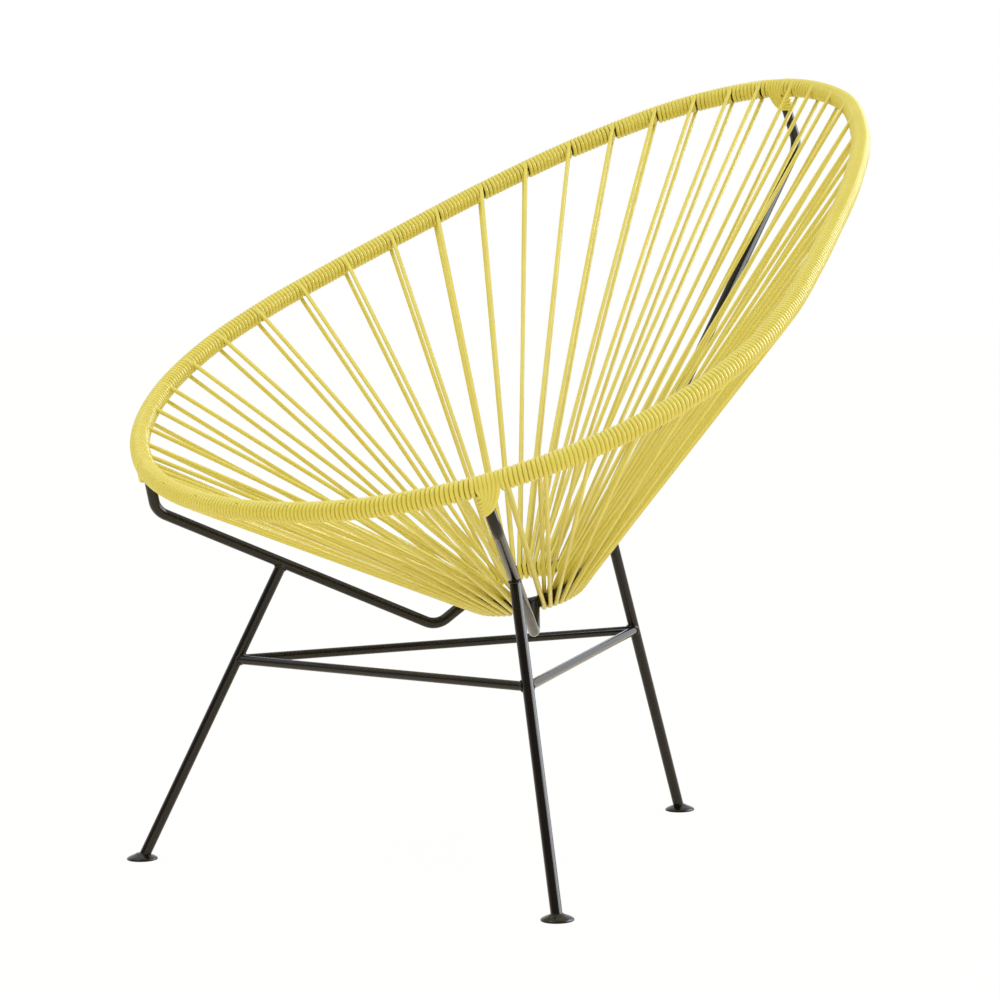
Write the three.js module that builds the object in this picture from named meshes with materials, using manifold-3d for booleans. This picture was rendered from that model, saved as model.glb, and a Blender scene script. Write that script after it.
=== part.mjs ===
// A lounge chair of round steel rod, strung with plastic cord.
//
// One egg-shaped hoop is tipped back. A small ring hangs below its middle on three bent stays.
// Cord is wound round the whole hoop. At each step it drops to the ring, turns round it and
// comes back, so the seat is a basket of paired strands. Three splayed legs are welded under the
// stays, three bars tie the legs, and a domed disc is under each leg.
//
// Millimetres, +Z up. The sitter faces -Y, and +X is at the sitter's left.

import * as THREE from 'three';
import { mergeVertices } from 'three/addons/utils/BufferGeometryUtils.js';
import Module from 'manifold-3d';

const wasm = await Module();
wasm.setup();

// Stock sizes
const ROD_D = 12; // hoop, ring, stays and legs
const BAR_D = 10; // bars between the legs
const CORD_D = 4.8;
const CLEARANCE = 0.3; // between a piece and what it is wound on or welded to

// The hoop, an egg-shaped curve in one tipped plane
const HOOP_WIDTH = 759;
const HOOP_LENGTH = 992;
const HOOP_FRONT_HEIGHT = 401;
const HOOP_FRONT_Y = -96;
const HOOP_TILT = 26; // degrees
// Half of the outline from the front to the back: half width, then distance along the length
const hoopOutlineShares = [
  [0, 0], [0.308, 0.0156], [0.589, 0.0629], [0.813, 0.1405], [0.953, 0.2385], [1, 0.341], [0.973, 0.4355],
  [0.905, 0.5242], [0.816, 0.6211], [0.699, 0.7368], [0.528, 0.8611], [0.289, 0.9613], [0, 1],
];

// The ring under the seat
const RING_RADIUS = 60; // to the middle of its rod
const RING_HEIGHT = 287;
const RING_Y = 309;
const RING_TILT = 16; // degrees

// The stays. An upper bend is placed from where its stay leaves the hoop, a lower bend from the ring.
const FRONT_STAY_AT_HOOP = 248; // along the hoop from the middle of its front
const FRONT_UPPER_OUT = 5.9;
const FRONT_UPPER_BACK = 16.5;
const FRONT_UPPER_DROP = 45.5;
const FRONT_LOWER_OUT = 70;
const FRONT_LOWER_AHEAD = 69;
const FRONT_LOWER_DROP = 41;
const BACK_UPPER_BACK = 33.4;
const BACK_UPPER_DROP = 68.5;
const BACK_LOWER_BACK = 143;
const BACK_LOWER_RISE = 29;
const BEND_RADIUS = 22; // of the rod's middle line
const RISER_ANGLE = 48; // degrees, from the front to where a front stay meets the ring

// Legs, bars and feet
const FRONT_FOOT_X = 294; // from the middle, to either side
const BACK_FOOT_Y = 579; // from the line of the front feet
const BAR_HEIGHT = 219;
const frontLegShare = 0.445; // where the leg's top lies between the two bends of its stay
const backLegShare = 0.975;
const FOOT_D = 34;
const FOOT_RIM = 2.2; // height of the disc's upright edge
const FOOT_HEIGHT = 7.5;
const LEG_SEAT = 3.8; // from the disc's underside to the leg's end, along the leg
const WELD_WIDTH = 2.4;
const WELD_LENGTH = 7;

// The cord
const FRONT_PAIRS = 14; // between the front stays
const SIDE_PAIRS = 20; // between a front stay and the back stay
const PAIRS_IN_NODE = 2;
const PAIR_GAP = 3; // between the two strands of a pair, along the hoop
const STAY_GAP = 25; // from a stay to the nearest pair
const STEP_AT_STAY = 39; // from pair to pair along the hoop
const STEP_SWELL = 28; // what the step gains at the side of the chair
const swellRoundShare = 0.75; // below 1, the steps swell sooner
const RIBS_IN_STEP = 2; // each rib stands for a few turns
const RIB_DEPTH = 1.3;
const NODE_GAP = 0.4; // between the windings of two cord nodes
const LASHING_TURNS = 2;
const LASHING_PITCH = 5.4;
const LASHING_FLARE = 3.2; // what the lashing's radius gains at the hoop

// Facets
const ROD_SIDES = 12;
const HOOP_SIDES = 8;
const STRAND_SIDES = 6;
const BEND_STEPS = 4;
const TURN_STEPS = 12;
const RING_STEPS = 24;
const FOOT_SIDES = 16;
const MERGE = 1e-4;

const rodR = ROD_D / 2;
const cordR = CORD_D / 2;
const windR = rodR + CLEARANCE + cordR; // from a rod's middle to the middle of the cord on it
const windOuter = windR + cordR;
const hoopCornerR = rodR / Math.cos(Math.PI / HOOP_SIDES); // its faces touch the round rod
const hoopBoreR = hoopCornerR + CLEARANCE;

const steel = new THREE.MeshStandardMaterial({ color: '#25211e', roughness: 0.38, metalness: 0.5 });
const plastic = new THREE.MeshStandardMaterial({ color: '#d8ca4e', roughness: 0.42, metalness: 0 });

const up = new THREE.Vector3(0, 0, 1);
const radians = THREE.MathUtils.degToRad;
const mix = (a, b, share) => new THREE.Vector3().lerpVectors(a, b, share);
const direction = (from, to) => to.clone().sub(from).normalize();
const along = (point, way, distance) => point.clone().addScaledVector(way, distance);
const mirrored = (point) => new THREE.Vector3(-point.x, point.y, point.z);

// Solids

function signedVolume(points, index) {
  let sum = 0;
  const cross = new THREE.Vector3();
  for (let i = 0; i < index.length; i += 3) {
    sum += points[index[i]].dot(cross.crossVectors(points[index[i + 1]], points[index[i + 2]]));
  }
  return sum;
}

// A skin over rings of points. It closes on its first ring, or has a flat face at each end.
function skin(rings, closes) {
  const sides = rings[0].length;
  const points = rings.flat();
  const index = [];
  const bands = closes ? rings.length : rings.length - 1;
  for (let ring = 0; ring < bands; ring++) {
    const next = (ring + 1) % rings.length;
    for (let side = 0; side < sides; side++) {
      const beside = (side + 1) % sides;
      const [a, b] = [ring * sides + side, ring * sides + beside];
      const [c, d] = [next * sides + beside, next * sides + side];
      index.push(a, b, c, a, c, d);
    }
  }
  if (!closes) {
    const last = (rings.length - 1) * sides;
    for (let side = 1; side < sides - 1; side++) {
      index.push(0, side + 1, side, last, last + side, last + side + 1);
    }
  }
  if (signedVolume(points, index) < 0) {
    for (let i = 0; i < index.length; i += 3) [index[i + 1], index[i + 2]] = [index[i + 2], index[i + 1]];
  }
  return new THREE.BufferGeometry().setFromPoints(points).setIndex(index);
}

function ringOfPoints(middle, a, b, radius, sides, turn = 0) {
  return Array.from({ length: sides }, (_, side) => {
    const angle = turn + (side / sides) * 2 * Math.PI;
    return along(along(middle, a, radius * Math.cos(angle)), b, radius * Math.sin(angle));
  });
}

function solid(geometry) {
  const bare = geometry.clone();
  bare.deleteAttribute('normal');
  bare.deleteAttribute('uv');
  const merged = mergeVertices(bare, MERGE);
  return new wasm.Manifold(new wasm.Mesh({
    numProp: 3,
    vertProperties: new Float32Array(merged.attributes.position.array),
    triVerts: new Uint32Array(merged.index.array),
  }));
}

// What a cut leaves of a piece, without loose crumbs of weld
function cut(body, rooms) {
  const left = rooms.reduce((rest, room) => rest.subtract(room), body);
  return left.decompose().sort((a, b) => b.volume() - a.volume())[0];
}

const group = new THREE.Group();

function addPiece(name, body, material) {
  const mesh = body.getMesh();
  const geometry = new THREE.BufferGeometry();
  geometry.setAttribute('position', new THREE.BufferAttribute(mesh.vertProperties, mesh.numProp));
  geometry.setIndex(new THREE.BufferAttribute(mesh.triVerts, 1));
  geometry.computeVertexNormals();
  const piece = new THREE.Mesh(geometry, material);
  piece.name = name;
  group.add(piece);
}

// A rod's middle line: straight runs and round bends, with a station only where it turns
class RodLine extends THREE.Curve {
  constructor(corners, bendRadius) {
    super();
    this.stations = [{ point: corners[0], way: direction(corners[0], corners[1]) }];
    for (let i = 1; i < corners.length - 1; i++) {
      const before = direction(corners[i - 1], corners[i]);
      const after = direction(corners[i], corners[i + 1]);
      const turn = before.angleTo(after);
      const middleWay = before.clone().negate().add(after).normalize();
      const middle = along(corners[i], middleWay, bendRadius / Math.cos(turn / 2));
      const axis = before.clone().cross(after).normalize();
      const arm = along(corners[i], before, -bendRadius * Math.tan(turn / 2)).sub(middle);
      for (let step = 0; step <= BEND_STEPS; step++) {
        const angle = (turn * step) / BEND_STEPS;
        this.stations.push({
          point: arm.clone().applyAxisAngle(axis, angle).add(middle),
          way: before.clone().applyAxisAngle(axis, angle),
        });
      }
    }
    const last = corners.length - 1;
    this.stations.push({ point: corners[last], way: direction(corners[last - 1], corners[last]) });
    this.steps = this.stations.length - 1;
  }
  station(share) {
    return this.stations[Math.round(share * this.steps)];
  }
  getPointAt(share) {
    return this.station(share).point.clone();
  }
  getTangentAt(share) {
    return this.station(share).way.clone();
  }
}

function roundSection(radius, sides) {
  return new THREE.Shape(Array.from({ length: sides }, (_, side) => {
    const angle = (side / sides) * 2 * Math.PI;
    return new THREE.Vector2(radius * Math.cos(angle), radius * Math.sin(angle));
  }));
}

function rod(corners, radius, bendRadius = BEND_RADIUS) {
  const line = new RodLine(corners, bendRadius);
  return solid(new THREE.ExtrudeGeometry(roundSection(radius, ROD_SIDES), {
    steps: line.steps, extrudePath: line, bevelEnabled: false,
  }));
}

// A turned piece on an axis: the profile's second number runs from the foot point along the axis
function turned(profile, foot, axis, sides) {
  const geometry = new THREE.LatheGeometry(profile.map(([r, h]) => new THREE.Vector2(r, h)), sides);
  geometry.applyQuaternion(new THREE.Quaternion().setFromUnitVectors(new THREE.Vector3(0, 1, 0), axis));
  geometry.translate(foot.x, foot.y, foot.z);
  return solid(geometry);
}

// A straight rod with a weld's skirt at one end or both. The neighbours' rods are cut out of it later.
function weldedRod(from, to, radius, weldAtStart) {
  const length = from.distanceTo(to);
  const inset = rodR / 2;
  const profile = [[0, length - inset], [radius + WELD_WIDTH, length - inset]];
  profile.push([radius + WELD_WIDTH / 3, length - inset - WELD_LENGTH * 2 / 3]);
  profile.push([radius, length - inset - WELD_LENGTH]);
  if (weldAtStart) {
    profile.push([radius, inset + WELD_LENGTH], [radius + WELD_WIDTH / 3, inset + WELD_LENGTH * 2 / 3]);
    profile.push([radius + WELD_WIDTH, inset], [0, inset]);
  } else {
    profile.push([radius, 0], [0, 0]);
  }
  return turned(profile.reverse(), from, direction(from, to), ROD_SIDES);
}

// The hoop's middle line

const hoopAlong = new THREE.Vector3(0, Math.cos(radians(HOOP_TILT)), Math.sin(radians(HOOP_TILT)));
const hoopNormal = new THREE.Vector3(0, -Math.sin(radians(HOOP_TILT)), Math.cos(radians(HOOP_TILT)));

function hoopLine() {
  const front = new THREE.Vector3(0, HOOP_FRONT_Y, HOOP_FRONT_HEIGHT);
  const half = hoopOutlineShares.map(([wide, far]) => {
    const point = along(front, hoopAlong, far * HOOP_LENGTH);
    point.x = (wide * HOOP_WIDTH) / 2;
    return point;
  });
  const otherHalf = half.slice(1, -1).reverse().map(mirrored);
  const line = new THREE.CatmullRomCurve3([...half, ...otherHalf], true, 'centripetal');
  line.arcLengthDivisions = 2400;
  return line;
}

const hoop = hoopLine();
const hoopRound = hoop.getLength();

// The rod's middle, its direction and the way to the inside of the seat, at a distance along the hoop
function atHoop(distance) {
  const share = ((distance / hoopRound) % 1 + 1) % 1;
  const way = hoop.getTangentAt(share);
  return { point: hoop.getPointAt(share), way, inward: hoopNormal.clone().cross(way).normalize() };
}

function hoopSection(distance, radius) {
  const { point, inward } = atHoop(distance);
  const outOfCorner = Math.PI / HOOP_SIDES;
  return ringOfPoints(point, hoopNormal, inward, radius, HOOP_SIDES, outOfCorner);
}

// Where the strands leave the hoop

const backAtHoop = hoopRound / 2;
const stayPlaces = [-FRONT_STAY_AT_HOOP, FRONT_STAY_AT_HOOP, backAtHoop];

function evenPlaces(from, to, count) {
  return Array.from({ length: count }, (_, i) => from + ((to - from) * i) / (count - 1));
}

function sidePlaces(from, to) {
  const steps = Array.from({ length: SIDE_PAIRS - 1 }, (_, i) => {
    const swell = Math.abs(Math.sin((Math.PI * i) / (SIDE_PAIRS - 2))) ** swellRoundShare;
    return STEP_AT_STAY + STEP_SWELL * swell;
  });
  const total = steps.reduce((sum, step) => sum + step);
  const places = [from];
  steps.forEach((step) => places.push(places.at(-1) + (step * (to - from)) / total));
  return places;
}

const leftSide = sidePlaces(FRONT_STAY_AT_HOOP + STAY_GAP, backAtHoop - STAY_GAP);
const rightSide = leftSide.map((place) => hoopRound - place).reverse();
const frontSide = evenPlaces(-FRONT_STAY_AT_HOOP + STAY_GAP, FRONT_STAY_AT_HOOP - STAY_GAP, FRONT_PAIRS);

// Where they turn round the ring, as angles from its front

const ringClear = (rodR + cordR + 2 * CLEARANCE) / RING_RADIUS;
const riser = radians(RISER_ANGLE);
const frontTurns = evenPlaces(-riser + ringClear, riser - ringClear, FRONT_PAIRS);
const leftTurns = evenPlaces(riser + ringClear, Math.PI - ringClear, SIDE_PAIRS);
const rightTurns = leftTurns.map((angle) => 2 * Math.PI - angle).reverse();

const ringMiddle = new THREE.Vector3(0, RING_Y, RING_HEIGHT);
const ringBack = new THREE.Vector3(0, Math.cos(radians(RING_TILT)), Math.sin(radians(RING_TILT)));
const ringNormal = new THREE.Vector3(0, -Math.sin(radians(RING_TILT)), Math.cos(radians(RING_TILT)));

function atRing(angle) {
  const out = ringBack.clone().multiplyScalar(-Math.cos(angle));
  out.x += Math.sin(angle);
  return { point: along(ringMiddle, out, RING_RADIUS), out, way: ringNormal.clone().cross(out) };
}

// The hoop and the ring

function hoopRod(radius) {
  const stations = windings.flatMap(({ start, end }) => [start, (start + end) / 2]);
  return solid(skin(stations.map((place) => hoopSection(place, radius)), true));
}

function ringRod(radius) {
  const profile = Array.from({ length: ROD_SIDES + 1 }, (_, side) => {
    const angle = (side / ROD_SIDES) * 2 * Math.PI;
    return [RING_RADIUS + radius * Math.cos(angle), radius * Math.sin(angle)];
  });
  return turned(profile, ringMiddle, ringNormal, RING_STEPS);
}

// The cord's nodes: a stretch of winding each, and the pairs that leave it

function windingStretches() {
  const stretches = [];
  const sides = [
    { places: frontSide, turns: frontTurns, from: -FRONT_STAY_AT_HOOP, to: FRONT_STAY_AT_HOOP },
    { places: leftSide, turns: leftTurns, from: FRONT_STAY_AT_HOOP, to: backAtHoop },
    { places: rightSide, turns: rightTurns, from: backAtHoop, to: hoopRound - FRONT_STAY_AT_HOOP },
  ];
  for (const { places, turns, from, to } of sides) {
    for (let i = 0; i < places.length; i += PAIRS_IN_NODE) {
      const last = i + PAIRS_IN_NODE;
      const start = i === 0 ? from : (places[i - 1] + places[i]) / 2;
      const end = last >= places.length ? to : (places[last - 1] + places[last]) / 2;
      const pairs = places.slice(i, last).map((place, j) => ({ place, turn: turns[i + j] }));
      stretches.push({ start, end, pairs });
    }
  }
  return stretches;
}

const windings = windingStretches();

// The winding as a ribbed sleeve with the rod's room in it
function sleeve({ start, end, pairs }) {
  const from = start + NODE_GAP / 2;
  const to = end - NODE_GAP / 2;
  const ribs = pairs.length * RIBS_IN_STEP;
  const outer = [];
  for (let i = 0; i <= 2 * ribs; i++) {
    const place = from + ((to - from) * i) / (2 * ribs);
    outer.push(hoopSection(place, i % 2 ? windOuter : windOuter - RIB_DEPTH));
  }
  const bore = [to, (start + end) / 2, from].map((place) => hoopSection(place, hoopBoreR));
  return solid(skin([...outer, ...bore], true));
}

// A pair: from the top of the hoop, round the ring's inner side, and back to the hoop's underside
function strandPair({ place, turn }) {
  const ring = atRing(turn);
  const over = atHoop(place - PAIR_GAP / 2);
  const under = atHoop(place + PAIR_GAP / 2);
  const outward = direction(ring.point, mix(over.point, under.point, 0.5));
  const across = outward.clone().cross(ring.way).normalize();
  if (across.z < 0) across.negate();
  const inward = across.clone().cross(ring.way).normalize();
  if (inward.dot(ring.out) > 0) inward.negate();
  const corner = Math.PI / 8;
  const path = [];
  for (const angle of [corner, 3 * corner, 5 * corner, 7 * corner]) {
    const arm = across.clone().multiplyScalar(Math.cos(angle)).addScaledVector(inward, Math.sin(angle));
    path.push(along(ring.point, arm, windR / Math.cos(corner)));
  }
  const leaves = (hoopEnd, ringEnd, sign) => {
    const side = direction(ringEnd, hoopEnd.point).cross(hoopEnd.way).normalize();
    if (side.z * sign < 0) side.negate();
    return along(hoopEnd.point, side, hoopBoreR + cordR);
  };
  path.unshift(leaves(over, path[0], 1));
  path.push(leaves(under, path.at(-1), -1));
  const rings = path.map((point, i) => {
    const way = direction(path[Math.max(i - 1, 0)], path[Math.min(i + 1, path.length - 1)]);
    const a = ring.way.clone().addScaledVector(way, -ring.way.dot(way)).normalize();
    return ringOfPoints(point, a, way.clone().cross(a), cordR, STRAND_SIDES);
  });
  return { body: solid(skin(rings, false)), path };
}

// The stays

const stays = [
  { side: 'right', hand: -1, turn: -riser },
  { side: 'left', hand: 1, turn: riser },
  { side: 'back', hand: 0, turn: Math.PI },
];

stays.forEach((stay, i) => {
  stay.top = atHoop(stayPlaces[i]);
  stay.ring = atRing(stay.turn);
  const front = stay.hand !== 0;
  const upper = new THREE.Vector3(
    stay.hand * FRONT_UPPER_OUT,
    front ? FRONT_UPPER_BACK : BACK_UPPER_BACK,
    front ? -FRONT_UPPER_DROP : -BACK_UPPER_DROP,
  );
  const lower = new THREE.Vector3(
    stay.hand * FRONT_LOWER_OUT,
    front ? -FRONT_LOWER_AHEAD : BACK_LOWER_BACK,
    front ? -FRONT_LOWER_DROP : BACK_LOWER_RISE,
  );
  stay.upper = upper.add(stay.top.point);
  stay.lower = lower.add(ringMiddle);
  stay.legTop = mix(stay.upper, stay.lower, front ? frontLegShare : backLegShare);
  stay.footSpot = new THREE.Vector3(stay.hand * FRONT_FOOT_X, front ? 0 : BACK_FOOT_Y, 0);
});

function stayRod(stay, radius) {
  const head = along(stay.top.point, direction(stay.top.point, stay.upper), rodR / 2);
  const tail = along(stay.ring.point, direction(stay.ring.point, stay.lower), rodR / 2);
  return rod([head, stay.upper, stay.lower, tail], radius);
}

// The cord that is wound over each stay's upper end, as one unbroken tube
function lashing(stay) {
  const axis = direction(stay.top.point, stay.upper);
  const side = stay.top.way.clone().addScaledVector(axis, -axis.dot(stay.top.way)).normalize();
  const third = axis.clone().cross(side);
  const first = windOuter + cordR + NODE_GAP;
  const steps = LASHING_TURNS * TURN_STEPS;
  const path = [];
  for (let i = 0; i <= steps; i++) {
    const share = i / steps;
    const angle = share * LASHING_TURNS * 2 * Math.PI;
    const radius = windR / Math.cos(Math.PI / TURN_STEPS) + LASHING_FLARE * (1 - share) ** 2;
    const arm = side.clone().multiplyScalar(Math.cos(angle)).addScaledVector(third, Math.sin(angle));
    const down = first + share * LASHING_TURNS * LASHING_PITCH;
    path.push(along(along(stay.top.point, axis, down), arm, radius));
  }
  const rings = path.map((point, i) => {
    const way = direction(path[Math.max(i - 1, 0)], path[Math.min(i + 1, steps)]);
    const a = axis.clone().addScaledVector(way, -axis.dot(way)).normalize();
    return ringOfPoints(point, a, way.clone().cross(a), cordR, STRAND_SIDES);
  });
  return { body: solid(skin(rings, false)), path };
}

// The least gap of a wound tube to itself, measured between the middles of turns that lie side by side
function leastGap(path) {
  let least = Infinity;
  for (let i = 0; i < path.length; i++) {
    for (let j = i + TURN_STEPS / 2; j < path.length; j++) least = Math.min(least, path[i].distanceTo(path[j]));
  }
  return least - CORD_D;
}

// Feet: a disc with an upright edge and a domed top, bored for its leg
function foot(stay) {
  const profile = [[0, 0], [FOOT_D / 2, 0], [FOOT_D / 2, FOOT_RIM]];
  const domeSteps = 4;
  for (let i = 1; i <= domeSteps; i++) {
    const angle = (i / domeSteps) * (Math.PI / 2);
    profile.push([(FOOT_D / 2) * Math.cos(angle), FOOT_RIM + (FOOT_HEIGHT - FOOT_RIM) * Math.sin(angle)]);
  }
  profile.at(-1)[0] = 0;
  return turned(profile, stay.footSpot, up, FOOT_SIDES);
}

function legAxisFrom(stay) {
  return along(stay.footSpot, direction(stay.footSpot, stay.legTop), LEG_SEAT);
}

// Assembly

const ringRoom = ringRod(rodR + CLEARANCE);
const hoopRoom = hoopRod(hoopBoreR);
const strandRoom = hoopRod((hoopCornerR + hoopBoreR) / 2);
addPiece('rim_hoop', hoopRod(hoopCornerR), steel);
addPiece('hub_ring', ringRod(rodR), steel);

for (const stay of stays) {
  stay.room = stayRod(stay, rodR + CLEARANCE);
  addPiece(`stay_${stay.side}`, cut(stayRod(stay, rodR), [hoopRoom, ringRoom]), steel);

  const seat = legAxisFrom(stay);
  const boreEnd = along(seat, direction(stay.legTop, seat), CLEARANCE);
  const legRoom = weldedRod(boreEnd, stay.legTop, rodR + CLEARANCE, false);
  stay.legRoom = rod([seat, stay.legTop], rodR + CLEARANCE);
  addPiece(`leg_${stay.side}`, cut(weldedRod(seat, stay.legTop, rodR, false), [stay.room]), steel);
  addPiece(`foot_${stay.side}`, cut(foot(stay), [legRoom]), steel);

  const wound = lashing(stay);
  const gap = leastGap(wound.path);
  console.log(`lashing_${stay.side}: ${LASHING_TURNS} turns, least gap to itself ${gap.toFixed(2)} mm`);
  addPiece(`lashing_${stay.side}`, wound.body, plastic);
}

function legAtBarHeight(stay) {
  return mix(stay.footSpot, stay.legTop, BAR_HEIGHT / stay.legTop.z);
}

function bar(one, other, radius) {
  return weldedRod(legAtBarHeight(one), legAtBarHeight(other), radius, true);
}

function addBar(name, one, other, rooms) {
  addPiece(name, cut(bar(one, other, BAR_D / 2), [one.legRoom, other.legRoom, ...rooms]), steel);
}

// The side bars stop at the front bar, and at each other where they meet on the back leg
const [right, left, back] = stays;
const frontBarRoom = bar(right, left, BAR_D / 2 + CLEARANCE);
const middleGap = solid(new THREE.BoxGeometry(CLEARANCE, FRONT_FOOT_X, FRONT_FOOT_X)
  .translate(0, BACK_FOOT_Y, BAR_HEIGHT));
addBar('crossbar_front', right, left, []);
addBar('crossbar_right', right, back, [frontBarRoom, middleGap]);
addBar('crossbar_left', left, back, [frontBarRoom, middleGap]);

let nearest = Infinity;
windings.forEach((stretch, i) => {
  let body = sleeve(stretch);
  for (const pair of stretch.pairs) body = body.add(strandPair(pair).body.subtract(strandRoom));
  addPiece(`cord_${String(i + 1).padStart(2, '0')}`, cut(body, stays.map((stay) => stay.room)), plastic);
});

// The loops on the ring lie closest at its inner side
const turnsInOrder = [...frontTurns, ...leftTurns, ...rightTurns];
for (let i = 1; i < turnsInOrder.length; i++) {
  const step = Math.abs(turnsInOrder[i] - turnsInOrder[i - 1]);
  nearest = Math.min(nearest, step * (RING_RADIUS - windR / Math.cos(Math.PI / 8)) - CORD_D);
}
console.log(`strand pairs: ${turnsInOrder.length}, least gap between loops on the ring ${nearest.toFixed(2)} mm`);

// The origin is on the floor, under the middle of the chair
group.updateMatrixWorld(true);
const box = new THREE.Box3().setFromObject(group);
const middleY = (box.min.y + box.max.y) / 2;
group.children.forEach((piece) => piece.position.set(0, -middleY, 0));
const size = box.getSize(new THREE.Vector3());
console.log(`overall ${size.x.toFixed(1)} x ${size.y.toFixed(1)} x ${size.z.toFixed(1)} mm`);

export default group;
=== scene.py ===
# %% [markdown]
# # A lounge chair strung with plastic cord
#
# The real chair is an egg-shaped hoop of round steel rod, tipped back on three splayed legs. One
# long plastic cord is wound round the hoop and drops again and again to a small ring under the
# seat, so the seat is a basket of taut pairs of strands.
#
# The solids come first. They are the frame that everything here is set against, in metres.

# %% Load the solids
import math
from bisect import bisect_right

import bmesh
import bpy
from mathutils import Matrix, Vector


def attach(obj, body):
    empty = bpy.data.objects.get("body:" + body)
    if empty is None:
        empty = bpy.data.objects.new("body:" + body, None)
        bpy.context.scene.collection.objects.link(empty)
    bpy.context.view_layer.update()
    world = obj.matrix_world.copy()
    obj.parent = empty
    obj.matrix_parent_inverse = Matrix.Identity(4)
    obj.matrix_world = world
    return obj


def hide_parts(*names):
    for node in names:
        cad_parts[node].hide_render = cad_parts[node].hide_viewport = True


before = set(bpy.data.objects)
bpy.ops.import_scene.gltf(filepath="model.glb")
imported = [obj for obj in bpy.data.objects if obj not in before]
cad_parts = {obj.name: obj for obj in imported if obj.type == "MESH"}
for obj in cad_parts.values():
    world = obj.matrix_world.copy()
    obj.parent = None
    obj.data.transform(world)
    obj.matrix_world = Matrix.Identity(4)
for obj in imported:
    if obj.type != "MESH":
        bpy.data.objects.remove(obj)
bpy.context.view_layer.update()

MM = 0.001
TAU = 2 * math.pi

# %% [markdown]
# ## The camera
#
# The photograph was taken from the chair's front left corner, a little above the seat, with a long
# lens. Its place was worked out from the legs, the stays and the hoop, so that the solids fall on
# the picture. A camera looks along its own -Z, so its three axes are written as a matrix.

# %% Place the camera
PHOTO_PX = 1000
FOCAL_PX = 3636.89
SENSOR = 36
AZIMUTH, ELEVATION, ROLL = (math.radians(v) for v in (40.556, 4.7665, -1.14))
EYE = Vector((2.5621, -3.0867, 0.7137))

back = Vector((math.sin(AZIMUTH) * math.cos(ELEVATION),
               -math.cos(AZIMUTH) * math.cos(ELEVATION), math.sin(ELEVATION)))
right = Vector((math.cos(AZIMUTH), math.sin(AZIMUTH), 0))
above = back.cross(right)
camera_x = right * math.cos(ROLL) + above * math.sin(ROLL)
camera_y = above * math.cos(ROLL) - right * math.sin(ROLL)

lens = bpy.data.cameras.new("photo_camera")
lens.sensor_width = SENSOR
lens.lens = FOCAL_PX / PHOTO_PX * SENSOR
camera = bpy.data.objects.new("photo_camera", lens)
bpy.context.scene.collection.objects.link(camera)
camera.matrix_world = Matrix((camera_x, camera_y, back)).transposed().to_4x4()
camera.location = EYE
bpy.context.scene.camera = camera
print("lens", round(lens.lens, 1), "mm, distance", round(EYE.length, 2), "m")

# %% [markdown]
# ## Finishes
#
# A colour is picked on a screen as a hex value, but the renderer mixes light in linear numbers, so
# one function turns the first into the second. A second small function adds a node, with its
# settings and what feeds it, so that each finish below reads as a short list.
#
# Some nodes have several sockets of one name. A Mix node has a pair for numbers and a pair for
# colours, and those are reached by their place in its list.

# %% Colour and node helpers
NUMBER_A, NUMBER_B, COLOUR_A, COLOUR_B = 2, 3, 6, 7  # a Mix node's inputs
MIXED_NUMBER, MIXED_COLOUR = 0, 2  # and its outputs


def screen_colour(code):
    parts = [int(code[i:i + 2], 16) / 255 for i in (1, 3, 5)]
    return [p / 12.92 if p <= 0.04045 else ((p + 0.055) / 1.055) ** 2.4 for p in parts] + [1]


def add_node(tree, kind, feeds=(), **settings):
    """Each feed is an input's name or place, with its value or the output that is linked to it."""
    node = tree.nodes.new(kind)
    for name, value in settings.items():
        setattr(node, name, value)
    for name, value in dict(feeds).items():
        if isinstance(value, bpy.types.NodeSocket):
            tree.links.new(value, node.inputs[name])
        else:
            node.inputs[name].default_value = value
    return node


def new_finish(name, feeds):
    finish = bpy.data.materials.new(name)
    finish.use_nodes = True
    shader = finish.node_tree.nodes["Principled BSDF"]
    for key, value in feeds.items():
        shader.inputs[key].default_value = value
    surface = add_node(finish.node_tree, "ShaderNodeTexCoord").outputs["Object"]
    return finish, finish.node_tree, shader, surface


print("screen grey #808080 is", round(screen_colour("#808080")[0], 3), "in linear light")

# %% [markdown]
# ### Cord
#
# The cord is extruded vinyl, the same stuff as garden hose: mustard yellow right through, smooth
# from the die and a little waxy. The batch isn't quite even, and hands and weather leave some
# stretches duller. A broad noise mixes two yellows in patches of a few centimetres, a finer one
# breaks the gloss, and the finest dimples the skin. Each scale is one over a real length.

# %% The vinyl finish
vinyl, tree, shader, surface = new_finish("extruded_vinyl_mustard", {"IOR": 1.54})
batch = add_node(tree, "ShaderNodeTexNoise", {"Vector": surface, "Scale": 1 / (45 * MM), "Detail": 2.0})
yellow = add_node(tree, "ShaderNodeMix", {
    "Factor": batch.outputs["Fac"],
    COLOUR_A: screen_colour("#D1C145"), COLOUR_B: screen_colour("#DCCE5D")}, data_type="RGBA")
tree.links.new(yellow.outputs[MIXED_COLOUR], shader.inputs["Base Color"])
handling = add_node(tree, "ShaderNodeTexNoise", {"Vector": surface, "Scale": 1 / (9 * MM), "Detail": 3.0})
gloss = add_node(tree, "ShaderNodeMapRange", {
    "Value": handling.outputs["Fac"], "To Min": 0.24, "To Max": 0.36})
tree.links.new(gloss.outputs["Result"], shader.inputs["Roughness"])
skin = add_node(tree, "ShaderNodeTexNoise", {"Vector": surface, "Scale": 1 / (1.2 * MM), "Detail": 2.0})
dimple = add_node(tree, "ShaderNodeBump", {
    "Height": skin.outputs["Fac"], "Strength": 0.02, "Distance": 0.1 * MM})
tree.links.new(dimple.outputs["Normal"], shader.inputs["Normal"])
print("finish", vinyl.name)

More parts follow.
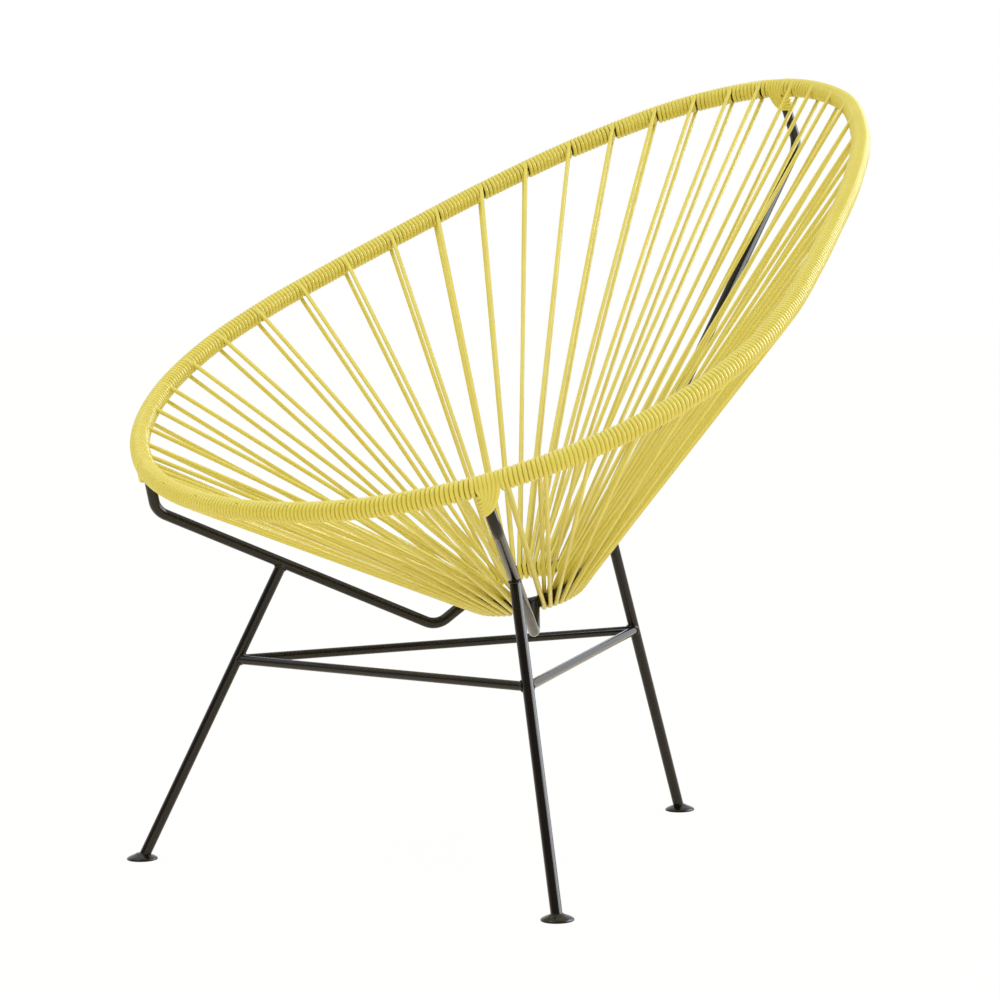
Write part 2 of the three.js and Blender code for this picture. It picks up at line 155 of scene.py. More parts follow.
# %% [markdown]
# ### Frame
#
# The steel is welded up and then powder coated. Powder melts into an even satin skin with a fine
# orange peel, a little glossier in some places than in others. The coat hides the metal, so it
# isn't metallic: it is a dark paint with a clear reflection.

# %% The powder coat finish
powder, tree, shader, surface = new_finish("black_powder_coat", {"IOR": 1.5, "Specular IOR Level": 0.35})
shade = add_node(tree, "ShaderNodeTexNoise", {"Vector": surface, "Scale": 1 / (30 * MM), "Detail": 4.0})
black = add_node(tree, "ShaderNodeMix", {
    "Factor": shade.outputs["Fac"],
    COLOUR_A: screen_colour("#120D09"), COLOUR_B: screen_colour("#1B1510")}, data_type="RGBA")
tree.links.new(black.outputs[MIXED_COLOUR], shader.inputs["Base Color"])
cure = add_node(tree, "ShaderNodeTexNoise", {"Vector": surface, "Scale": 1 / (12 * MM), "Detail": 3.0})
satin = add_node(tree, "ShaderNodeMapRange", {
    "Value": cure.outputs["Fac"], "To Min": 0.13, "To Max": 0.20})
tree.links.new(satin.outputs["Result"], shader.inputs["Roughness"])
peel = add_node(tree, "ShaderNodeTexNoise", {"Vector": surface, "Scale": 1 / (1.5 * MM), "Detail": 1.0})
orange_peel = add_node(tree, "ShaderNodeBump", {
    "Height": peel.outputs["Fac"], "Strength": 0.08, "Distance": 0.1 * MM})
tree.links.new(orange_peel.outputs["Normal"], shader.inputs["Normal"])
print("finish", powder.name)

# %% [markdown]
# ## The hoop's line
#
# Everything hangs on the hoop's middle line, so it is worked out first, from the sizes that the
# solids have. They are measured back from the line of the front feet, and one small function puts
# them in the frame, whose origin is under the middle of the chair.
#
# Thirteen points give half of the egg: half its width, then the distance along its length, as
# shares. A smooth curve is drawn through them, and a table of lengths along it lets a strand be put
# at any distance from the front.

# %% Sizes of the chair
MIDDLE_Y = 361.89  # from the line of the front feet to the frame's origin, in millimetres


def from_front_feet(x, y, z):
    return Vector((x, y - MIDDLE_Y, z)) * MM


ROD_R, BAR_R, CORD_R = 6 * MM, 5 * MM, 2.4 * MM
WIND_R = ROD_R + 0.3 * MM + CORD_R  # from a rod's middle to the middle of the cord on it
HOOP_WIDTH, HOOP_LENGTH, HOOP_TILT = 759 * MM, 992 * MM, math.radians(26)
HOOP_FRONT = from_front_feet(0, -96, 401)
HALF_EGG = [
    (0, 0), (0.308, 0.0156), (0.589, 0.0629), (0.813, 0.1405), (0.953, 0.2385), (1, 0.341),
    (0.973, 0.4355), (0.905, 0.5242), (0.816, 0.6211), (0.699, 0.7368), (0.528, 0.8611),
    (0.289, 0.9613), (0, 1)]
HOOP_STEPS = 60  # along the line between two of those points
RING_R, RING_TILT = 60 * MM, math.radians(16)
RING_MIDDLE = from_front_feet(0, 309, 287)
RISER = math.radians(48)  # round the ring, from its front to where a front stay meets it

hoop_along = Vector((0, math.cos(HOOP_TILT), math.sin(HOOP_TILT)))
hoop_normal = Vector((0, -math.sin(HOOP_TILT), math.cos(HOOP_TILT)))
ring_back = Vector((0, math.cos(RING_TILT), math.sin(RING_TILT)))
ring_normal = Vector((0, -math.sin(RING_TILT), math.cos(RING_TILT)))
print("hoop", HOOP_WIDTH, "m wide, ring", 2 * RING_R, "m across")


# %% A smooth closed line through points
def through(points, steps):
    line = []
    for i in range(len(points)):
        a, b, c, d = (points[(i + k - 1) % len(points)] for k in range(4))
        ab, bc, cd = ((q - p).length ** 0.5 for p, q in ((a, b), (b, c), (c, d)))
        leave = ((b - a) / ab - (c - a) / (ab + bc) + (c - b) / bc) * bc
        reach = ((c - b) / bc - (d - b) / (bc + cd) + (d - c) / cd) * bc
        for step in range(steps):
            t = step / steps
            line.append(b + leave * t + (3 * (c - b) - 2 * leave - reach) * t ** 2
                        + (2 * (b - c) + leave + reach) * t ** 3)
    return line


half = [HOOP_FRONT + hoop_along * (far * HOOP_LENGTH) + Vector((wide * HOOP_WIDTH / 2, 0, 0))
        for wide, far in HALF_EGG]
other_half = [Vector((-p.x, p.y, p.z)) for p in reversed(half[1:-1])]
hoop_line = through(half + other_half, HOOP_STEPS)
hoop_at = [0]
for p, q in zip(hoop_line, hoop_line[1:] + hoop_line[:1]):
    hoop_at.append(hoop_at[-1] + (q - p).length)
HOOP_ROUND = hoop_at[-1]
print("hoop", round(HOOP_ROUND / MM), "mm round")


# %% Places on the hoop and the ring
def at_hoop(distance):
    """The rod's middle there, the way along it, and the way to the inside of the seat."""
    distance %= HOOP_ROUND
    i = min(bisect_right(hoop_at, distance) - 1, len(hoop_line) - 1)
    p, q = hoop_line[i], hoop_line[(i + 1) % len(hoop_line)]
    before, after = hoop_line[i - 1], hoop_line[(i + 2) % len(hoop_line)]
    share = (distance - hoop_at[i]) / (hoop_at[i + 1] - hoop_at[i])
    way = (q - before).lerp(after - p, share).normalized()
    return p.lerp(q, share), way, hoop_normal.cross(way).normalized()


def at_ring(angle):
    """The rod's middle there, the way out from the ring's middle, and the way along the rod."""
    out = -math.cos(angle) * ring_back + Vector((math.sin(angle), 0, 0))
    return RING_MIDDLE + out * RING_R, out, ring_normal.cross(out)


print("ring's front at height", round(at_ring(0)[0].z / MM), "mm")

# %% [markdown]
# ## Where the strands go
#
# The cord leaves the hoop in pairs of strands: about 35 mm apart along the front and beside the
# stays, and almost twice that at the sides of the chair. On the ring the pairs sit side by side.
# Both rows are the ones that the solids have, so each new cord lands on the solid that it stands
# for, and two pairs with their winding make one length.

# %% The strand pairs
STAY_AT = 248 * MM  # along the hoop, from the middle of its front
STAY_GAP = 25 * MM  # from a stay to the nearest pair
FRONT_PAIRS, SIDE_PAIRS, PAIRS_IN_NODE = 14, 20, 2
STEP_AT_STAY, STEP_SWELL, SWELL_POWER = 39, 28, 0.75  # steps at the side, before they fit their room
PAIR_GAP = 2.4 * MM  # between the two strands of a pair, along the hoop
RISER_GAP = 0.6 * MM  # between a stay's riser and the nearest cord on the ring
ring_clear = (ROD_R + CORD_R + RISER_GAP) / RING_R


def evenly(start, end, count):
    return [start + (end - start) * i / (count - 1) for i in range(count)]


def side_places(start, end):
    swell = [abs(math.sin(math.pi * i / (SIDE_PAIRS - 2))) ** SWELL_POWER for i in range(SIDE_PAIRS - 1)]
    steps = [STEP_AT_STAY + STEP_SWELL * s for s in swell]
    places = [start]
    for step in steps:
        places.append(places[-1] + step * (end - start) / sum(steps))
    return places


left_side = side_places(STAY_AT + STAY_GAP, HOOP_ROUND / 2 - STAY_GAP)
right_side = [HOOP_ROUND - p for p in reversed(left_side)]
front_side = evenly(-STAY_AT + STAY_GAP, STAY_AT - STAY_GAP, FRONT_PAIRS)
front_turns = evenly(-RISER + ring_clear, RISER - ring_clear, FRONT_PAIRS)
left_turns = evenly(RISER + ring_clear, math.pi - ring_clear, SIDE_PAIRS)
right_turns = [TAU - a for a in reversed(left_turns)]

pairs = []
for places, turns, end in (
        (front_side, front_turns, STAY_AT),
        (left_side, left_turns, HOOP_ROUND / 2),
        (right_side, right_turns, HOOP_ROUND - STAY_AT)):
    for i, (spot, turn) in enumerate(zip(places, turns)):
        pairs.append({"place": spot, "turn": turn})
        if i == len(places) - 1:
            pairs[-1]["node_end"] = end
        elif i % PAIRS_IN_NODE == PAIRS_IN_NODE - 1:
            pairs[-1]["node_end"] = (places[i] + places[i + 1]) / 2
print(len(pairs), "pairs of strands,", sum("node_end" in p for p in pairs), "lengths of cord")

# %% [markdown]
# ## The three stays
#
# Each stay is welded under the hoop, drops to an upper bend, runs in to a lower bend and ends at
# the ring. The upper bend is placed from where the stay leaves the hoop, and the lower one from the
# ring's middle. A leg is welded on between the two bends, at a share of the way from the upper one.
#
# The winding needs this list too, because it stops at each stay, where the cord is lashed over the
# crotch of hoop and stay. No two stays are wrapped alike: three short turns at the right one, six at
# the left and five at the back.

# %% List the stays
def offset(x, y, z):
    return Vector((x, y, z)) * MM


LASHING_FROM = -6.7 * MM  # where a lashing starts, along the hoop from its stay; it ends at lashing_to
stays = [
    {"side": "right", "at": -STAY_AT, "turn": -RISER, "foot": from_front_feet(-294, 0, 0),
     "to_upper": offset(-5.9, 16.5, -45.5), "to_lower": offset(-70, -69, -41), "leg_share": 0.445,
     "wraps": 3, "wrap_depth": 0.3, "lashing_to": 6.5 * MM},
    {"side": "left", "at": STAY_AT, "turn": RISER, "foot": from_front_feet(294, 0, 0),
     "to_upper": offset(5.9, 16.5, -45.5), "to_lower": offset(70, -69, -41), "leg_share": 0.445,
     "wraps": 6, "wrap_depth": 1, "lashing_to": 18.7 * MM},
    {"side": "back", "at": HOOP_ROUND / 2, "turn": math.pi, "foot": from_front_feet(0, 579, 0),
     "to_upper": offset(0, 33.4, -68.5), "to_lower": offset(0, 143, 29), "leg_share": 0.975,
     "wraps": 5, "wrap_depth": 1, "lashing_to": 13.9 * MM},
]
for stay in stays:
    stay["top"], stay["way"], stay["inward"] = at_hoop(stay["at"])
    stay["ring"] = at_ring(stay["turn"])[0]
    stay["upper"] = stay["top"] + stay["to_upper"]
    stay["lower"] = RING_MIDDLE + stay["to_lower"]
    stay["leg_top"] = stay["upper"].lerp(stay["lower"], stay["leg_share"])
    print(stay["side"], "leg ends at height", round(stay["leg_top"].z / MM), "mm")

# %% [markdown]
# ## One turn after another
#
# A pair is one bight of the cord. It leaves the top of the hoop as a tangent, runs straight to the
# ring, turns round the ring's inner side and comes back under the hoop, where the winding goes on.
# So each bight skips half a turn on the hoop's inner side, and there the black rod shows through.
#
# The tangent's angle comes from one line of trigonometry. Between two bights the cord is wound as
# tight as it goes: the last turn is pressed in, and the soft vinyl gives by a few tenths of a
# millimetre. The first and last turns lean into the slits beside their bights. At a stay the
# winding stops on top of the hoop, and the lashing takes over.

# %% Bights
BIGHT_POINTS = 13  # on the half turn round the ring


def tangent_angle(distance, target, side):
    """Where a straight strand from the target touches the winding, with side 1 above and -1 below."""
    point, _, inward = at_hoop(distance)
    a, b = (target - point).dot(hoop_normal), (target - point).dot(inward)
    return math.atan2(b, a) - side * math.acos(WIND_R / math.hypot(a, b))


def bight(pair):
    """The turn round the ring, from above it to below it, and the hoop's two tangent angles."""
    point, out, way = at_ring(pair["turn"])
    leave, come = pair["place"] - PAIR_GAP / 2, pair["place"] + PAIR_GAP / 2
    toward = (at_hoop(pair["place"])[0] - point).normalized()
    across = toward.cross(way).normalized()
    if across.z < 0:
        across.negate()
    inner = across.cross(way).normalized()
    if inner.dot(out) > 0:
        inner.negate()
    turn = [point + (across * math.cos(a) + inner * math.sin(a)) * WIND_R
            for a in evenly(0, math.pi, BIGHT_POINTS)]
    return {"turn": turn, "leave": leave, "come": come,
            "leave_angle": tangent_angle(leave, turn[0], 1),
            "come_angle": tangent_angle(come, turn[-1], -1)}


bights = [bight(p) for p in pairs]
print(len(bights), "bights")

# %% Turns between two bights
TURN_STEPS = 16  # points to a turn
SPARE_ROOM = 0.2  # in turns; where more than this would be left over, one more turn is pressed in
CLOSING = 1.7 * MM  # how far the turns beside a bight lean into its slit
CLOSING_TURNS = 3


def on_hoop(distance, angle):
    """The cord's middle on the hoop. Angle 0 is on top, a quarter turn is inside the seat."""
    point, _, inward = at_hoop(distance)
    return point + (hoop_normal * math.cos(angle) + inward * math.sin(angle)) * WIND_R


def wind(start, start_angle, end, end_angle):
    """Points of the winding, each with its distance along the hoop, and the number of turns."""
    room = end - start
    part = (end_angle - start_angle) % TAU / TAU
    turns = part + max(1, math.ceil(room / (2 * CORD_R) - part - SPARE_ROOM))
    count = round(turns * TURN_STEPS)
    points = []
    for i in range(count + 1):
        angle = start_angle + TAU * turns * i / count
        from_start, from_end = turns * i / count, turns * (1 - i / count)
        lean = max(0, 1 - from_end / CLOSING_TURNS) - max(0, 1 - from_start / CLOSING_TURNS)
        shift = CLOSING * lean * max(0, math.sin(angle))
        spot = start + room * i / count
        points.append((spot, on_hoop(spot + shift, angle)))
    return points, turns


print("one turn takes", round(TAU * WIND_R / MM, 1), "mm of cord")

# %% [markdown]
# ### The cord's lengths
#
# Now the cord is followed once round the hoop, from pair to pair. Where a length ends, the winding
# is cut, and both lengths keep the point at the cut, so that no gap shows. The walk starts at the
# last pair, so the stretch from there to the right stay comes first, and is put on the last length.

# %% Follow the cord round
lengths, line, all_turns = [], [], 0
for i, (pair, one) in enumerate(zip(pairs, bights)):
    before = bights[i - 1]
    came = before["come"] - (HOOP_ROUND if i == 0 else 0)
    border = pairs[i - 1].get("node_end")
    stays_between = [s for s in stays if came < s["at"] < one["leave"]]
    if stays_between:
        stay = stays_between[0]
        first, turns = wind(came, before["come_angle"], stay["at"] + LASHING_FROM, 0)
        second, more = wind(stay["at"] + stay["lashing_to"], 0, one["leave"], one["leave_angle"])
        lengths.append(line + [p for s, p in first])
        line = [p for s, p in second]
        turns += more
    else:
        winding, turns = wind(came, before["come_angle"], one["leave"], one["leave_angle"])
        if border is None:
            line += [p for s, p in winding]
        else:
            cut = bisect_right([s for s, p in winding], border)
            lengths.append(line + [p for s, p in winding[:cut + 1]])
            line = [p for s, p in winding[cut:]]
    all_turns += turns
    line += one["turn"]
lengths.append(line + lengths.pop(0))
print(round(all_turns), "turns on the hoop in", len(lengths), "lengths")

# %% [markdown]
# ## Making cord
#
# A cord is a line with a round section, so it is drawn as a curve with a bevel. The curve is then
# made a mesh, its end caps are welded on, and its faces are smoothed. Twelve sides are enough for a
# cord of five millimetres that is repeated five hundred times.
#
# Smoothing would also bend the light round the edge of a flat end, and that shows far along a thin
# rod. So edges sharper than a set angle stay sharp on each piece that stands for a solid.

# %% Add a piece to the scene
SHARP_EDGE = math.radians(50)


def add_piece(name, mesh, finish):
    piece = bpy.data.objects.new(name, mesh)
    bpy.context.scene.collection.objects.link(piece)
    mesh.materials.clear()
    mesh.materials.append(finish)
    mesh.shade_smooth()
    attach(piece, "root")
    return piece


def replace_solid(name, mesh, finish, solid):
    piece = add_piece(name, mesh, finish)
    mesh.set_sharp_from_angle(angle=SHARP_EDGE)
    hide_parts(solid)


print("edges over", round(math.degrees(SHARP_EDGE)), "degrees stay sharp")

# %% Cord along lines
MERGE = 0.01 * MM


def tube_mesh(name, lines, radius, roundness=4, closed=False):
    """Round tubes along lines of points. A point's fourth number, if it has one, scales the radius."""
    curve = bpy.data.curves.new(name, "CURVE")
    curve.dimensions = "3D"
    curve.bevel_depth = radius
    curve.bevel_resolution = roundness
    curve.use_fill_caps = True
    for points in lines:
        spline = curve.splines.new("POLY")
        spline.points.add(len(points) - 1)
        for spot, p in zip(spline.points, points):
            spot.co = (*p[:3], 1)
            spot.radius = p[3] if len(p) > 3 else 1
        spline.use_cyclic_u = closed
    drawn = bpy.data.objects.new(name, curve)
    mesh = bpy.data.meshes.new_from_object(drawn)
    bpy.data.objects.remove(drawn)
    shape = bmesh.new()
    shape.from_mesh(mesh)
    bmesh.ops.remove_doubles(shape, verts=shape.verts, dist=MERGE)
    bmesh.ops.recalc_face_normals(shape, faces=shape.faces)
    shape.to_mesh(mesh)
    shape.free()
    return mesh


for number, line in enumerate(lengths, 1):
    name = f"seat_cord_{number:02d}"
    mesh = tube_mesh(name, [line], CORD_R)
    replace_solid(name, mesh, vinyl, f"cord_{number:02d}")
print("last length has", len(mesh.polygons), "faces")

# %% [markdown]
# ## Rods
#
# The stays are bent cold from straight rod. A bender feeds a straight run, turns a bend, and feeds
# on, and the mesh is made in the same order: a ring of points is extruded for a run and spun for a
# bend. The legs and bars are straight, so they are one run each.

# %% A bent rod
BEND_R = 22 * MM


def outward_mesh(name, shape):
    bmesh.ops.recalc_face_normals(shape, faces=shape.faces)
    mesh = bpy.data.meshes.new(name)
    shape.to_mesh(mesh)
    shape.free()
    return mesh


def rod_mesh(name, corners, radius, sides):
    shape = bmesh.new()
    way = (corners[1] - corners[0]).normalized()
    turned = way.to_track_quat("Z", "Y").to_matrix().to_4x4()
    bmesh.ops.create_circle(shape, cap_ends=True, segments=sides, radius=radius,
                            matrix=Matrix.Translation(corners[0]) @ turned)
    rim, at = shape.edges[:], corners[0]

    def run_to(rim, at, to):
        grown = bmesh.ops.extrude_edge_only(shape, edges=rim)["geom"]
        verts = [g for g in grown if isinstance(g, bmesh.types.BMVert)]
        bmesh.ops.translate(shape, verts=verts, vec=to - at)
        return [g for g in grown if isinstance(g, bmesh.types.BMEdge)
                and g.verts[0] in verts and g.verts[1] in verts], to

    for corner, after in zip(corners[1:], corners[2:]):
        new_way = (after - corner).normalized()
        turn = way.angle(new_way)
        rim, at = run_to(rim, at, corner - way * BEND_R * math.tan(turn / 2))
        axis = way.cross(new_way).normalized()
        middle = at + axis.cross(way) * BEND_R
        spun = bmesh.ops.spin(shape, geom=rim, cent=middle, axis=axis, dvec=(0, 0, 0),
                              angle=turn, steps=10, use_merge=False, use_duplicate=False)["geom_last"]
        rim = [g for g in spun if isinstance(g, bmesh.types.BMEdge)]
        at = corner + new_way * BEND_R * math.tan(turn / 2)
        way = new_way
    rim, _ = run_to(rim, at, corners[-1])
    bmesh.ops.edgeloop_fill(shape, edges=rim)
    return outward_mesh(name, shape)


# %% Stays and legs
ROD_SIDES = 20
LEG_SEAT = 3.8 * MM  # from the disc's underside to the leg's end, along the leg
for stay in stays:
    corners = [stay["top"], stay["upper"], stay["lower"], stay["ring"]]
    mesh = rod_mesh(f"bent_stay_{stay['side']}", corners, ROD_R, ROD_SIDES)
    replace_solid(mesh.name, mesh, powder, f"stay_{stay['side']}")
    leg_way = (stay["leg_top"] - stay["foot"]).normalized()
    corners = [stay["foot"] + leg_way * LEG_SEAT, stay["leg_top"]]
    mesh = rod_mesh(f"splayed_leg_{stay['side']}", corners, ROD_R, ROD_SIDES)
    replace_solid(mesh.name, mesh, powder, f"leg_{stay['side']}")
    print(mesh.name, "is", round((corners[1] - corners[0]).length / MM), "mm long")

# %% Bars between the legs
BAR_HEIGHT = 219 * MM
BAR_SIDES = 16
for stay in stays:
    stay["bar"] = stay["foot"].lerp(stay["leg_top"], BAR_HEIGHT / stay["leg_top"].z)
on_right, on_left, on_back = stays
bars = [("front", on_right, on_left), ("right", on_right, on_back), ("left", on_left, on_back)]
for side, one, two in bars:
    mesh = rod_mesh(f"tie_bar_{side}", [one["bar"], two["bar"]], BAR_R, BAR_SIDES)
    replace_solid(mesh.name, mesh, powder, f"crossbar_{side}")
print("bars at", BAR_HEIGHT, "m")

# %% [markdown]
# ## Ring and hoop rod
#
# Both are closed loops of the same rod. The ring is truly round, so a circle is spun about the
# ring's axis. The hoop's rod is seen only in the slits beside each bight, so the solid itself is
# kept, and takes the powder coat.

# %% Spin the ring
shape = bmesh.new()
front_point, out, way = at_ring(0)
section = Matrix((out, ring_normal, way)).transposed().to_4x4()
bmesh.ops.create_circle(shape, cap_ends=False, segments=16, radius=ROD_R,
                        matrix=Matrix.Translation(front_point) @ section)
bmesh.ops.spin(shape, geom=shape.verts[:] + shape.edges[:], cent=RING_MIDDLE, axis=ring_normal,
               dvec=(0, 0, 0), angle=TAU, steps=72, use_merge=True, use_duplicate=False)
bmesh.ops.remove_doubles(shape, verts=shape.verts, dist=MERGE)
mesh = outward_mesh("seat_ring", shape)
replace_solid("seat_ring", mesh, powder, "hub_ring")
rim_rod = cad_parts["rim_hoop"]
rim_rod.data.materials.clear()
rim_rod.data.materials.append(powder)
print("ring has", len(mesh.polygons), "faces")

# %% [markdown]
# ## Feet
#
# Each leg stands on a stamped disc with a rolled edge and a low dome, so that it doesn't sink into
# grass. Half of its section is a few points, which a full spin turns into the disc. A bevel on the
# sharp edges would be lost at this size, so the section itself carries the rounded rim.

# %% Spin the feet
SECTION = [(0, 0), (15.4, 0), (16.5, 0.4), (17, 1.2), (16.8, 2.1), (16.0, 2.9), (14.2, 3.9),
           (11.8, 5.0), (9.4, 5.9), (7.6, 6.7), (6.4, 7.5), (0, 7.5)]  # radius and height
for stay in stays:
    shape = bmesh.new()
    verts = [shape.verts.new(stay["foot"] + offset(r, 0, h)) for r, h in SECTION]
    edges = [shape.edges.new(pair) for pair in zip(verts, verts[1:])]
    bmesh.ops.spin(shape, geom=verts + edges, cent=stay["foot"], axis=(0, 0, 1), dvec=(0, 0, 0),
                   angle=TAU, steps=48, use_merge=True, use_duplicate=False)
    bmesh.ops.remove_doubles(shape, verts=shape.verts, dist=MERGE)
    mesh = outward_mesh(f"foot_disc_{stay['side']}", shape)
    replace_solid(mesh.name, mesh, powder, f"foot_{stay['side']}")
print("feet", 2 * max(r for r, h in SECTION), "mm across")

# %% [markdown]
# ## Weld beads
#
# Where one rod is welded to another, a bead of melted metal runs round the joint, with a ripple
# for each pulse of the torch. Its line is where the two round surfaces meet, found by walking
# along the ending rod until it touches the other. Each bead is a closed tube on that line, and the
# beads of the bars are the thicker ones.

# %% Beads round the joints
BEAD_R = 1.4 * MM
BAR_BEAD = 1.4  # how much thicker the beads of the bars are
BEAD_ROUNDNESS = 2
BEAD_STEPS = 48
RIPPLES, RIPPLE_DEPTH = 11, 0.14  # how many go round a joint, and their share of the radius
WOBBLES, WOBBLE_DEPTH = 4, 0.1  # the same, of the slower change in thickness
BEAD_IN, BEAD_OUT = 0.3 * MM, 0.4 * MM  # into the ending rod, and out of the other


def meeting_line(end, away, radius, axis_point, axis_way):
    """Where a rod that ends there, and goes away from it, meets the rod along an axis."""
    side = away.orthogonal().normalized()
    third = away.cross(side)
    line = []
    for i in range(BEAD_STEPS):
        a = TAU * i / BEAD_STEPS
        foot = end + (side * math.cos(a) + third * math.sin(a)) * (radius - BEAD_IN)
        rel = foot - axis_point
        across, run = rel - axis_way * rel.dot(axis_way), away - axis_way * away.dot(axis_way)
        b, c = across.dot(run), across.length_squared - (ROD_R + BEAD_OUT) ** 2
        root = math.sqrt(max(b * b - run.length_squared * c, 0))
        ripple, wobble = RIPPLE_DEPTH * math.sin(RIPPLES * a), WOBBLE_DEPTH * math.sin(WOBBLES * a + 1)
        thick = (BAR_BEAD if radius == BAR_R else 1) + ripple + wobble
        line.append((*(foot + away * ((root - b) / run.length_squared)), thick))
    return line


joints = []
for stay in stays:
    leg_way = (stay["foot"] - stay["leg_top"]).normalized()
    stay_way = (stay["lower"] - stay["upper"]).normalized()
    joints.append((stay["leg_top"], leg_way, ROD_R, stay["upper"], stay_way))
    riser_way = (stay["lower"] - stay["ring"]).normalized()
    joints.append((stay["ring"], riser_way, ROD_R, stay["ring"], at_ring(stay["turn"])[2]))
for _, one, two in bars:
    for here, there in ((one, two), (two, one)):
        bar_way = (there["bar"] - here["bar"]).normalized()
        leg_way = (here["foot"] - here["leg_top"]).normalized()
        joints.append((here["bar"], bar_way, BAR_R, here["bar"], leg_way))
bead_lines = [meeting_line(*joint) for joint in joints]
beads = tube_mesh("weld_beads", bead_lines, BEAD_R, BEAD_ROUNDNESS, closed=True)
add_piece("weld_beads", beads, powder)
print(len(joints), "weld beads")

# %% [markdown]
# ## Lashings
#
# At each stay the winding has to cover the crotch of hoop and rod. A few turns pass over the top of
# the hoop beside the stay, run down its inner side, go round the stay's far side and climb back up
# the outer face. Each goes a little further along and lands a little lower, so they fan out.
#
# The whole lashing is one line, drawn smoothly through seven points a turn. It starts and ends where
# the winding stops, so it looks like the same cord. The smooth line is a closed one, so it is given a
# point more at each end, and is then cut one step past each true end.

# %% Fan of turns over each stay
TURN_KEYS = 7
KEY_STEPS = 6
LOW_AT_FIRST, LOWER_EACH, LOWER_LESS = 9.8, 4.9, 0.19  # down the stay, in millimetres
FAR_SIDE = 1 * MM  # from the stay's skin to the cord's middle, where the cord is pulled flat
OUTER_SLIP = 0.8 * MM  # towards the far side, on the outer face


def lashing_line(stay):
    down = (stay["upper"] - stay["top"]).normalized()
    side = (stay["way"] - down * down.dot(stay["way"])).normalized()
    inner = side.cross(down)
    if inner.dot(stay["inward"]) < 0:
        inner.negate()
    last_key = TURN_KEYS * stay["wraps"]
    keys = []
    for key in range(-1, last_key + 2):
        turn, part = divmod(key, TURN_KEYS)
        beside = LASHING_FROM + (stay["lashing_to"] - LASHING_FROM) * key / last_key
        low = (LOW_AT_FIRST + stay["wrap_depth"] * (LOWER_EACH * turn - LOWER_LESS * turn ** 2)) * MM
        point, _, inward = at_hoop(stay["at"] + beside)
        one_turn = [
            point + hoop_normal * WIND_R,
            point + inward * WIND_R,
            stay["top"] + side * beside * 0.3 + inner * WIND_R + down * low * 0.8,
            stay["top"] - side * (ROD_R + FAR_SIDE) + down * low,
            stay["top"] + side * (beside * 0.2 - OUTER_SLIP) - inner * WIND_R + down * low * 0.84,
            stay["top"] + side * beside * 0.66 - inner * WIND_R + down * low * 0.52,
            point - inward * WIND_R]
        keys.append(one_turn[part])
    return through(keys, KEY_STEPS)[KEY_STEPS - 1:KEY_STEPS * (last_key + 1) + 2]


for stay in stays:
    name = f"stay_lashing_{stay['side']}"
    mesh = tube_mesh(name, [lashing_line(stay)], CORD_R)
    replace_solid(name, mesh, vinyl, f"lashing_{stay['side']}")
print([s["wraps"] for s in stays], "turns over the stays")

# %% [markdown]
# ## Floor
#
# The chair stands in a white studio. The floor keeps a soft shadow, but the camera sees it almost
# white: Light Path's camera ray mixes a plain white glow into it, so no extra light falls on the
# chair. Its paper is slightly warm, which is what the underside of the basket shows.

# %% Paper floor
FLOOR_REACH = 12
PAPER = (0.95, 0.89, 0.74, 1)
PAPER_GLOW = 0.94
WHITE = (1, 1, 1, 1)

sheet = bmesh.new()
bmesh.ops.create_grid(sheet, x_segments=1, y_segments=1, size=FLOOR_REACH)
mesh = bpy.data.meshes.new("studio_floor")
sheet.to_mesh(mesh)
sheet.free()
floor = bpy.data.objects.new("studio_floor", mesh)
bpy.context.scene.collection.objects.link(floor)
paper = bpy.data.materials.new("white_paper_floor")
paper.use_nodes = True
tree = paper.node_tree
shader = tree.nodes["Principled BSDF"]
shader.inputs["Base Color"].default_value = PAPER
shader.inputs["Roughness"].default_value = 0.9
rays = add_node(tree, "ShaderNodeLightPath")
part = add_node(tree, "ShaderNodeMath", {
    0: rays.outputs["Is Camera Ray"], 1: PAPER_GLOW}, operation="MULTIPLY")
glow = add_node(tree, "ShaderNodeEmission", {"Color": WHITE, "Strength": 1.0})
both = add_node(tree, "ShaderNodeMixShader", {
    "Fac": part.outputs["Value"], 1: shader.outputs["BSDF"], 2: glow.outputs["Emission"]})
tree.links.new(both.outputs["Shader"], tree.nodes["Material Output"].inputs["Surface"])
floor.data.materials.append(paper)
print("floor reaches", FLOOR_REACH, "m each way")

# %% [markdown]
# ## Light
#
# The room's own light is soft: strongest from the upper right, weakest from the lower left, and
# plain white to the camera. Dark gloss shows its surroundings, so glossy rays find another room: the
# wall behind the chair and the ceiling are a cool white, and the room in front is dark. Both are made
# alike: how far a ray points one way, as a dot product, is mapped to a strength.

# %% The room
FILL_WAY = (0.38, 0.52, 0.76)
MIRROR_WAY = (-0.55, 0.64, 0.55)
COOL_WHITE = (0.90, 0.95, 1, 1)

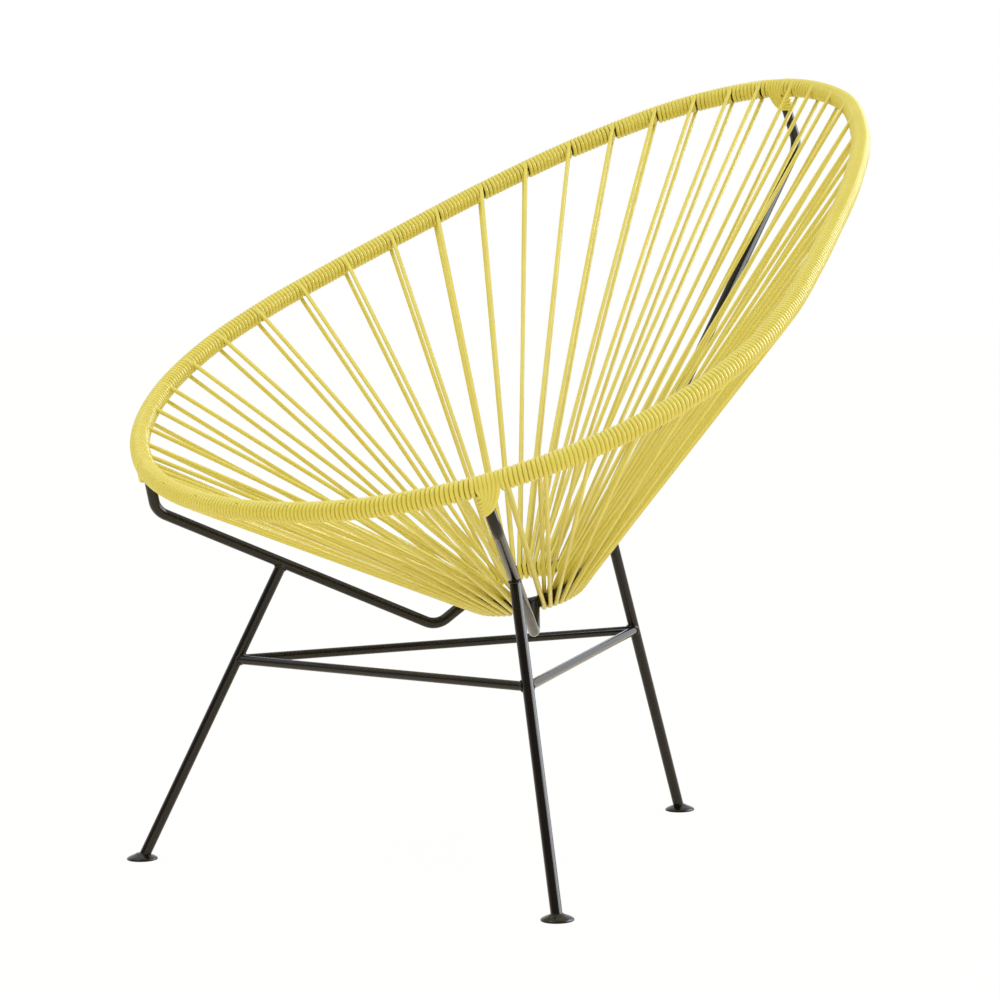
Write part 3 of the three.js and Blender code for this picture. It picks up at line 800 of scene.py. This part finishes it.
world = bpy.data.worlds.new("white_studio")
bpy.context.scene.world = world
world.use_nodes = True
tree = world.node_tree
rays = add_node(tree, "ShaderNodeLightPath")
toward = add_node(tree, "ShaderNodeTexCoord").outputs["Generated"]
overhead = add_node(tree, "ShaderNodeVectorMath", {0: toward, 1: FILL_WAY}, operation="DOT_PRODUCT")
fill = add_node(tree, "ShaderNodeMapRange", {
    "Value": overhead.outputs["Value"], "From Min": -1.0, "From Max": 1.0, "To Min": 0.18, "To Max": 1.43})
wall = add_node(tree, "ShaderNodeVectorMath", {0: toward, 1: MIRROR_WAY}, operation="DOT_PRODUCT")
mirrored = add_node(tree, "ShaderNodeMapRange", {
    "Value": wall.outputs["Value"], "From Min": -0.1, "From Max": 0.5, "To Min": 0.12, "To Max": 1.1})
soft = add_node(tree, "ShaderNodeMix", {
    "Factor": rays.outputs["Is Glossy Ray"],
    NUMBER_A: fill.outputs["Result"], NUMBER_B: mirrored.outputs["Result"]})
seen = add_node(tree, "ShaderNodeMix", {
    "Factor": rays.outputs["Is Camera Ray"], NUMBER_A: soft.outputs[MIXED_NUMBER], NUMBER_B: 1.0})
cool = add_node(tree, "ShaderNodeMix", {
    "Factor": rays.outputs["Is Glossy Ray"], COLOUR_A: WHITE, COLOUR_B: COOL_WHITE}, data_type="RGBA")
tree.links.new(cool.outputs[MIXED_COLOUR], tree.nodes["Background"].inputs["Color"])
tree.links.new(seen.outputs[MIXED_NUMBER], tree.nodes["Background"].inputs["Strength"])
print("room", world.name)

# %% [markdown]
# ### Lamps
#
# A softbox above the front lifts the near side a little. A large window on the right, which only
# gloss sees, draws the long bright lines on rods and cord, and adds no light to the matt colour.

# %% Lamps
AIM = Vector((0, 0, 0.4))


def soft_lamp(name, at, wide, high, watts):
    lamp = bpy.data.lights.new(name, "AREA")
    lamp.shape, lamp.size, lamp.size_y, lamp.energy = "RECTANGLE", wide, high, watts
    holder = bpy.data.objects.new(name, lamp)
    holder.location = at
    holder.rotation_euler = (AIM - Vector(at)).to_track_quat("-Z", "Y").to_euler()
    holder.visible_camera = False
    bpy.context.scene.collection.objects.link(holder)
    return holder


soft_lamp("top_softbox", (-0.6, -2.2, 3.4), 1.8, 1.8, 30)
window = soft_lamp("rear_window", (2.05, 2.05, 1.75), 3.8, 2.6, 220)
window.visible_diffuse = False
window.data.color = COOL_WHITE[:3]
bpy.context.scene.view_settings.view_transform = "Standard"
print("studio ready")
